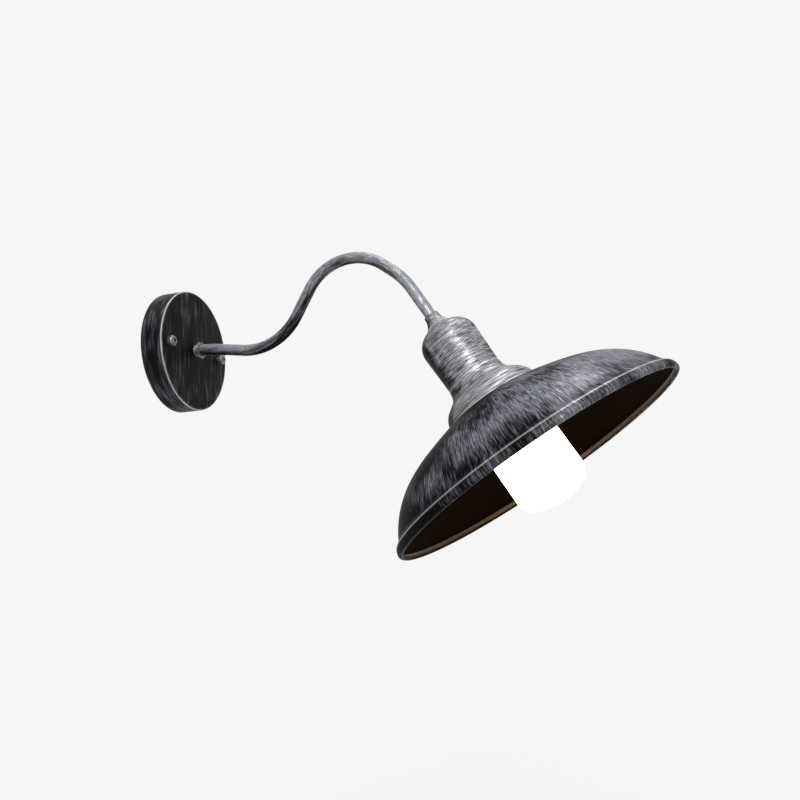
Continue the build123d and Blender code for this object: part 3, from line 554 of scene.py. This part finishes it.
def diffuser(finish):
    """Opal shell: straight side, corner arc, and a shallow dome that closes on the axis."""
    corner_bend, corner_turn = LAMP_CORNER
    dome_turn = 90 - corner_turn
    reach = corner_bend * (1 - math.cos(math.radians(corner_turn)))
    dome_bend = (LAMP_RADIUS - reach) / math.sin(math.radians(dome_turn))
    moves = ((LAMP_JOINT - LAMP_SIDE_END,), (corner_bend, -corner_turn), (dome_bend, -dome_turn))
    outer = chain((LAMP_RADIUS, LAMP_JOINT), -90.0, moves)
    inner = chain((LAMP_RADIUS - LAMP_WALL, LAMP_JOINT), -90.0, inside(moves, LAMP_WALL))[::-1]
    outer[-1, 0] = inner[0, 0] = 0.0
    outline = np.concatenate([outer, inner])
    piece = spin("lamp_diffuser_opal", outline, HEAD, HEAD_ORIGIN, LAMP_COLUMNS)
    finish_piece(piece, ["lamp_diffuser"], [finish], body="lamp")


# ---- materials ----
BLACK_ENAMEL = "0c0c0e"
RUBBED_SILVER_HIGHLIGHT = "c2c3c8"     # bright silver where the brush rubbed an edge, and the painted highlight of edge lines and the arm's end
COAT_RELIEF = 0.0001         # metres: height of brushed and sprayed coats
SKIN_RELIEF = 0.00005        # metres: height of a metal's or a moulding's grain


def linear(colour):
    """Linear RGBA of an sRGB hex colour such as "808080"."""
    parts = [int(colour[i:i + 2], 16) / 255 for i in (0, 2, 4)]
    return [p / 12.92 if p <= 0.04045 else ((p + 0.055) / 1.055) ** 2.4 for p in parts] + [1.0]


def add(tree, kind, inputs=None, **settings):
    """Adds a node with its settings; an input is a value, or the node or socket that feeds it."""
    node = tree.nodes.new("ShaderNode" + kind)
    for key, value in settings.items():
        setattr(node, key, value)
    for key, value in (inputs or {}).items():
        if isinstance(value, bpy.types.Node):
            value = value.outputs[0]
        if isinstance(value, bpy.types.NodeSocket):
            tree.links.new(value, node.inputs[key])
        else:
            node.inputs[key].default_value = value
    return node


def new_material(name):
    """An empty node material, its tree, and the place on the piece in millimetres."""
    material = bpy.data.materials.new(name)
    material.use_nodes = True
    tree = material.node_tree
    tree.nodes.clear()
    place = add(tree, "TexCoord").outputs["Object"]
    return material, tree, add(tree, "VectorMath", {0: place, "Scale": 1 / MM}, operation="SCALE")


def brushed_enamel(name, along, bristle, stroke, patch, cover, silver, metallic, veil, gloss):
    """Black stoving enamel, dry-brushed with silver lacquer, under a satin clear coat.

    The bristles leave fine broken streaks with dark enamel between them. They gather in
    strokes, lie unevenly from patch to patch, and turn to bright silver on the edges, which
    is partly a painted highlight.
    along says what the streaks follow: the piece's "object" place or its "grain". bristle,
    stroke and patch are the sizes of these three marks. A bristle's own mark is near
    0.15 mm wide, and it is drawn 0.4 mm or more wide, because a finer one doesn't show.

    The silver laid down is stroke + 0.7 patch + press, as a soft step over 0.6 to 1.2 less
    cover; the press also lays painted light and painted shade on the head and the arm. It is
    multiplied by the bristles' marks, from veil between them to 1, and 0.8 rub^2 is added,
    the edge rub that is partly a painted highlight and also turns the colour to the bright
    rubbed silver. silver is its colour, metallic how metallic it is, and gloss the
    specular level of the clear coat over bare black.
    """
    material, tree, place = new_material(name)
    if along == "grain":
        place = add(tree, "Attribute", attribute_name="grain").outputs["Vector"]
    # edge rub: brushed edges and painted highlight; press: uneven brushing laid out as painted
    # light and shade
    rub_and_highlight = add(tree, "Attribute", attribute_name="rub_and_highlight").outputs["Fac"]
    press_and_light = add(tree, "Attribute", attribute_name="press_and_light").outputs["Fac"]
    marks = []
    for size, detail, roughness in ((bristle, 3.0, 0.62), (stroke, 2.0, 0.55), (patch, 1.0, 0.5)):
        cells = {0: place, 1: [1 / side for side in size]}
        cells = add(tree, "VectorMath", cells, operation="MULTIPLY")
        noise = {"Vector": cells, "Scale": 1.0, "Detail": detail, "Roughness": roughness}
        marks.append(add(tree, "TexNoise", noise))
    bristles, strokes, uneven = marks
    laid = add(tree, "Math", {0: uneven, 1: 0.7, 2: strokes}, operation="MULTIPLY_ADD")
    laid = add(tree, "Math", {0: laid, 1: press_and_light}, operation="ADD")
    step = {"Value": laid, "From Min": 0.6 - cover, "From Max": 1.2 - cover}
    laid = add(tree, "MapRange", step, interpolation_type="SMOOTHSTEP")
    step = {"Value": bristles, "From Min": 0.4, "From Max": 0.66, "To Min": veil}
    bristles = add(tree, "MapRange", step, interpolation_type="SMOOTHSTEP")
    silvered = add(tree, "Math", {0: laid, 1: bristles}, operation="MULTIPLY")
    edge = add(tree, "Math", {0: rub_and_highlight, 1: 2.0}, operation="POWER")
    silvered = add(tree, "Math", {0: edge, 1: 0.8, 2: silvered}, operation="MULTIPLY_ADD")
    silvered = add(tree, "Math", {0: silvered, 1: 1.0}, operation="MINIMUM")
    # edges and the arm's end turn to the bright rubbed silver: wear and painted highlight
    paint = {"Factor": rub_and_highlight, 6: linear(silver), 7: linear(RUBBED_SILVER_HIGHLIGHT)}
    paint = add(tree, "Mix", paint, data_type="RGBA").outputs[2]
    colour = {"Factor": silvered, 6: linear(BLACK_ENAMEL), 7: paint}
    rough = {"Value": silvered, "To Min": 0.44, "To Max": 0.37}
    specular = {"Value": silvered, "To Min": gloss, "To Max": 0.3}
    relief = {"Height": silvered, "Strength": 0.3, "Distance": COAT_RELIEF}
    shader = {
        "Base Color": add(tree, "Mix", colour, data_type="RGBA").outputs[2],
        "Metallic": add(tree, "Math", {0: silvered, 1: metallic}, operation="MULTIPLY"),
        "Roughness": add(tree, "MapRange", rough, interpolation_type="SMOOTHSTEP"),
        "Specular IOR Level": add(tree, "MapRange", specular, interpolation_type="SMOOTHSTEP"),
        "Normal": add(tree, "Bump", relief),
    }
    add(tree, "OutputMaterial", {"Surface": add(tree, "BsdfPrincipled", shader)})
    return material


def canopy_enamel():
    """Canopy's face: strokes run straight up and down, thin and faint."""
    marks = {"bristle": (0.6, 0.6, 14), "stroke": (2.2, 2.2, 34), "patch": (12, 12, 26)}
    coat = {"cover": -0.14, "silver": "5f6064", "metallic": 0.3, "veil": 0.12, "gloss": 0.04}
    return brushed_enamel("enamel_brushed_canopy", "object", **marks, **coat)


def canopy_side_enamel():
    """Canopy's side: strokes run round it."""
    marks = {"bristle": (16, 16, 0.6), "stroke": (34, 34, 2.4), "patch": (22, 22, 9)}
    coat = {"cover": -0.1, "silver": "6f6f78", "metallic": 0.3, "veil": 0.12, "gloss": 0.04}
    return brushed_enamel("enamel_brushed_side", "grain", **marks, **coat)


def arm_enamel():
    """Arm: strokes run along the tube and lie thick."""
    marks = {"bristle": (0.4, 0.4, 5), "stroke": (1.6, 1.6, 22), "patch": (8, 8, 28)}
    coat = {"cover": 0.2, "silver": "a3a8b0", "metallic": 0.45, "veil": 0.35, "gloss": 0.03}
    return brushed_enamel("enamel_brushed_arm", "grain", **marks, **coat)


def cup_enamel():
    """Cup: turned against the brush, so strokes run round it in short rings."""
    marks = {"bristle": (18, 18, 0.45), "stroke": (30, 30, 1.4), "patch": (16, 16, 12)}
    coat = {"cover": 0.1, "silver": "c6c7cd", "metallic": 0.55, "veil": 0.14, "gloss": 0.05}
    return brushed_enamel("enamel_brushed_cup", "grain", **marks, **coat)


def shade_enamel():
    """Shade: strokes run from the middle to the rim."""
    marks = {"bristle": (0.4, 0.4, 6), "stroke": (1.5, 1.5, 13), "patch": (30, 30, 24)}
    coat = {"cover": -0.01, "silver": "9798a4", "metallic": 0.3, "veil": 0.22, "gloss": 0.01}
    return brushed_enamel("enamel_brushed_shade", "grain", **marks, **coat)


def plain_finish(name, colours, rough, cloud, grain, looks, spread=None, bump=0.0, relief=0.0):
    """A finish of one colour with what a real one has: a faint cloud and a fine grain.

    cloud and grain are noises, each given as (size in millimetres along each axis,
    detail). The colour goes from the first to the second of colours with the cloud, over
    the values in spread where it is given. Roughness goes across rough with the grain,
    and bump is how strongly the grain shows as relief, in metres. looks are more inputs
    of the shader. Most real grains are under 0.1 mm wide; they are drawn 0.25 mm or more
    wide, because a finer one doesn't show.
    """
    material, tree, place = new_material(name)
    marks = []
    for size, detail in (cloud, grain):
        cells = {0: place, 1: [1 / side for side in size]}
        cells = add(tree, "VectorMath", cells, operation="MULTIPLY")
        noise = {"Vector": cells, "Scale": 1.0, "Detail": detail, "Roughness": 0.6}
        marks.append(add(tree, "TexNoise", noise))
    clouded, grained = marks
    if spread:
        step = {"Value": clouded, "From Min": spread[0], "From Max": spread[1]}
        clouded = add(tree, "MapRange", step, interpolation_type="SMOOTHSTEP")
    colour = {"Factor": clouded, 6: linear(colours[0]), 7: linear(colours[1])}
    step = {"Value": grained, "From Min": 0.3, "From Max": 0.7}
    step |= {"To Min": rough[0], "To Max": rough[1]}
    shader = {
        "Base Color": add(tree, "Mix", colour, data_type="RGBA").outputs[2],
        "Roughness": add(tree, "MapRange", step, interpolation_type="SMOOTHSTEP"),
        **looks,
    }
    if bump:
        height = {"Height": grained, "Strength": bump, "Distance": relief}
        shader["Normal"] = add(tree, "Bump", height)
    add(tree, "OutputMaterial", {"Surface": add(tree, "BsdfPrincipled", shader)})
    return material


def black_inside():
    """Matte black lacquer sprayed inside shade and cup: a fine dry grain, hardly any gloss."""
    marks = {"cloud": ((22, 22, 22), 2.0), "grain": ((0.5, 0.5, 0.5), 2.0)}
    coat = {"looks": {"Specular IOR Level": 0.02}, "bump": 0.2, "relief": COAT_RELIEF}
    return plain_finish("lacquer_matte_black", ("080402", "120a05"), (0.62, 0.8), **marks, **coat)


def lamp_glow_lip():
    """Inside of the rolled rim: glossy enamel left bare of silver, painted warm brown as the
    lamp's glow on it.
    """
    cloud = ((5, 5, 5), 2.0)
    looks = {"Specular IOR Level": 0.5}
    return plain_finish("enamel_lip_painted_glow", ("33240a", "46330f"), (0.3, 0.38), cloud, cloud, looks)


def lit_opal():
    """Opal polycarbonate lit from inside: a warm white glow, even but for a faint cloud."""
    material, tree, place = new_material("polycarbonate_opal_lit")
    cloud_size = 9.0
    cells = add(tree, "VectorMath", {0: place, 1: [1 / cloud_size] * 3}, operation="MULTIPLY")
    noise = {"Vector": cells, "Scale": 1.0, "Detail": 2.0, "Roughness": 0.6}
    cloud = add(tree, "TexNoise", noise)
    colour = {"Factor": cloud, 6: linear("f2f0ea"), 7: linear("f7f6f2")}
    glow = {"Value": cloud, "From Min": 0.2, "From Max": 0.8, "To Min": 8.0, "To Max": 8.6}
    shader = {
        "Base Color": add(tree, "Mix", colour, data_type="RGBA").outputs[2],
        "Roughness": 0.35,
        "Emission Color": linear("ffe0b4"),
        "Emission Strength": add(tree, "MapRange", glow, interpolation_type="SMOOTHSTEP"),
    }
    add(tree, "OutputMaterial", {"Surface": add(tree, "BsdfPrincipled", shader)})
    return material


def plain_metal(name, dark, light, metallic, rough, grain_size, bump=0.15):
    """A metal with a fine worked grain, which makes its gloss and relief wander a little."""
    marks = {"cloud": ((6, 6, 6), 2.0), "grain": (grain_size, 3.0)}
    skin = {"spread": (0.3, 0.7), "bump": bump, "relief": SKIN_RELIEF}
    reach, looks = (rough - 0.06, rough + 0.08), {"Metallic": metallic}
    return plain_finish(name, (dark, light), reach, **marks, **skin, looks=looks)


def moulded(name, dark, light, rough, grain=0.35, bump=0.12):
    """A moulded or fired non-metal: fine surface grain and a faint cloud in its colour."""
    marks = {"cloud": ((8, 8, 8), 2.0), "grain": ((grain, grain, grain), 2.0)}
    skin = {"spread": (0.3, 0.7), "bump": bump, "relief": SKIN_RELIEF}
    reach = (rough - 0.05, rough + 0.07)
    return plain_finish(name, (dark, light), reach, **marks, **skin, looks={})


def earth_sleeve():
    """PVC insulation, extruded in green and yellow: long patches of each along it."""
    marks = {"cloud": ((1.4, 1.4, 9.0), 0.0), "grain": ((0.3, 0.3, 0.3), 2.0)}
    colours, reach = ("2f7a2c", "e3cf2a"), (0.38, 0.48)
    return plain_finish("pvc_green_yellow", colours, reach, **marks, looks={}, spread=(0.48, 0.52))


def slot_materials():
    """One material for each of the record's slots that the CAD pieces use."""
    strip_grain, disc_grain, drawn_grain = (0.6, 0.25, 0.6), (0.3, 1.5, 0.3), (0.3, 0.3, 1.2)
    return {
        # Rolled strip and turned fasteners, zinc plated: bluish grey with a fine grain.
        "zinc_steel": plain_metal("steel_zinc_plated", "9a9c9f", "c2c4c6", 1.0, 0.36, strip_grain),
        # Turned brass, nickel plated and worn dull: soft grey, a little warm.
        "nickel": plain_metal(
            "nickel_plated_dull", "5e5d5b", "8f8d89", 0.9, 0.34, (0.4, 0.4, 0.4), 0.3
        ),
        # Turned and stamped brass, unlacquered: slightly brown where it has dulled.
        "brass": plain_metal("brass_plain", "a58343", "c9a55c", 1.0, 0.32, (0.3, 0.3, 0.3)),
        # Phenolic moulding, nearly black, with a soft satin skin.
        "phenolic": moulded("phenolic_moulded_black", "131211", "1e1c1a", 0.42),
        # Polyamide moulding, natural milky white.
        "terminal_plastic": moulded("polyamide_natural", "d9d7cc", "e8e6dc", 0.45),
        # Steatite porcelain, pressed and fired without glaze: dry warm white.
        "porcelain": moulded("steatite_fired", "d2ccbf", "e6e1d6", 0.55, 0.5, 0.25),
        # Polycarbonate moulding, white and slightly glossy.
        "white_plastic": moulded("polycarbonate_white", "e4e3de", "efeeea", 0.32),
        # Pressed aluminium lamp cap: bright with a drawn grain.
        "cap_metal": plain_metal("aluminium_pressed", "b2b3b5", "d2d3d4", 1.0, 0.28, drawn_grain),
        # Black glass fused in the lamp cap: dark and glossy.
        "black_glass": moulded("glass_black_fused", "08080a", "101014", 0.14, 0.8, 0.05),
        # Tin solder, melted and set: grey and slightly wrinkled.
        "solder": plain_metal("solder_tin", "97989a", "bcbdbe", 1.0, 0.3, (0.7, 0.7, 0.7), 0.5),
        # Glass-fibre board under a white solder mask.
        "circuit_board": moulded("board_white_mask", "dedfd9", "ecede8", 0.36),
        # Silicone with yellow phosphor over each light source.
        "chip": moulded("silicone_phosphor", "d9b83a", "e8cf5e", 0.3),
        # Soft PVC insulation, extruded: brown for live.
        "live_pvc": moulded("pvc_brown", "55301b", "6b3f26", 0.42),
        # Soft PVC insulation, extruded: blue for neutral.
        "neutral_pvc": moulded("pvc_blue", "24509c", "3464b4", 0.42),
        "earth_pvc": earth_sleeve(),
        # Stamped aluminium disc, bare and brushed.
        "spreader_aluminium": plain_metal(
            "aluminium_stamped", "b5b6b8", "cfd0d1", 1.0, 0.35, disc_grain
        ),
        # Shrunk PET sleeve of the capacitor.
        "capacitor_sleeve": moulded("pet_sleeve_black", "101014", "1b1b22", 0.25),
        "opal": lit_opal(),
        "brushed_silver_arm": arm_enamel(),
        "aged_silver_enamel": canopy_enamel(),
    }


def dress_nodes(materials):
    """Puts the slot's material on every CAD piece."""
    slots = {entry["node"]: entry["material_slot"] for entry in frame["record"]["subparts"]}
    for name, piece in frame["nodes"].items():
        piece.data.materials.clear()
        piece.data.materials.append(materials[slots[name]])


# ---- stage, light and camera ----
PALE = 0.922                 # linear value of the photograph's background
FILL = 0.1                   # light of the surroundings on matt surfaces
FLOOR_DROP = 0.9             # metres from the canopy's centre down to the floor
FLOOR_HALF = 80.0            # metres from the floor's middle to its sides
SUNS = (
    # name, direction towards the sun, strength, angle that it fills in the sky
    ("overhead", (0.1, -0.06, 1.0), 1.45, 30.0),
    ("middle", (-0.45, -0.05, 0.88), 0.3, 26.0),
    ("front", (-0.82, -0.22, 0.53), 2.0, 26.0),
)


def pale_floor():
    """Large plain floor: pale matt paint that keeps the object's soft shadow."""
    line = np.linspace(-FLOOR_HALF, FLOOR_HALF, FLOOR_POINTS)
    x, y = np.meshgrid(line, line, indexing="ij")
    grid = np.stack([x, y, np.full_like(x, -FLOOR_DROP)], -1) / MM
    piece = surface("floor", grid, closed=False)
    cloud, looks = ((900, 900, 900), 1.0), {"Specular IOR Level": 0.0}
    colours, rough = ("f7f7f7", "f9f9f9"), (0.9, 0.9)
    paint = plain_finish("floor_matt_paint", colours, rough, cloud, cloud, looks)
    piece.data.materials.append(paint)


def world():
    """Plain pale surroundings for eye and mirrors, and a softer fill for matt surfaces."""
    room = bpy.data.worlds.new("pale_room")
    bpy.context.scene.world = room
    room.use_nodes = True
    tree = room.node_tree
    tree.nodes.clear()
    ray = add(tree, "LightPath").outputs
    seen = {0: ray["Is Camera Ray"], 1: ray["Is Transmission Ray"]}
    seen = add(tree, "Math", seen, operation="MAXIMUM")
    seen = add(tree, "Math", {0: seen, 1: ray["Is Glossy Ray"]}, operation="MAXIMUM")
    strength = add(tree, "Math", {0: seen, 1: PALE - FILL, 2: FILL}, operation="MULTIPLY_ADD")
    pale = add(tree, "Background", {"Color": (1, 1, 1, 1), "Strength": strength})
    add(tree, "OutputWorld", {"Surface": pale})


def suns():
    """Broad far suns: their light is even over the floor and soft on the object."""
    for name, towards, strength, angle in SUNS:
        data = bpy.data.lights.new(name, "SUN")
        data.energy, data.angle = strength, math.radians(angle)
        holder = bpy.data.objects.new(name, data)
        holder.rotation_euler = Vector(towards).to_track_quat("Z", "Y").to_euler()
        bpy.context.scene.collection.objects.link(holder)


def camera():
    """Camera at the photograph's place: its axes are the picture's right, up and back."""
    data = bpy.data.cameras.new("camera")
    data.sensor_fit, data.sensor_width = "HORIZONTAL", SENSOR_WIDTH
    data.lens = SENSOR_WIDTH * LENS_PER_SENSOR
    data.clip_start, data.clip_end = CLIP_NEAR, CLIP_FAR
    holder = bpy.data.objects.new("camera", data)
    right, up = Vector(CAMERA_RIGHT).normalized(), Vector(CAMERA_UP)
    up = (up - up.dot(right) * right).normalized()
    turn = Matrix((right, up, right.cross(up))).transposed().to_4x4()
    holder.matrix_world = Matrix.Translation(Vector(CAMERA_PLACE) * MM) @ turn
    bpy.context.scene.collection.objects.link(holder)
    bpy.context.scene.camera = holder


camera()
world()
suns()
pale_floor()
materials = slot_materials()
dark_inside = black_inside()
dress_nodes(materials)
canopy(materials["aged_silver_enamel"], canopy_side_enamel())
canopy_nuts(materials["nickel"])
root_bush(materials["nickel"])
arm_flange(materials["brushed_silver_arm"])
arm(materials["brushed_silver_arm"])
cup(cup_enamel(), dark_inside)
shade(shade_enamel(), lamp_glow_lip(), dark_inside)
diffuser(materials["opal"])

bpy.context.scene.view_settings.view_transform = "Standard"
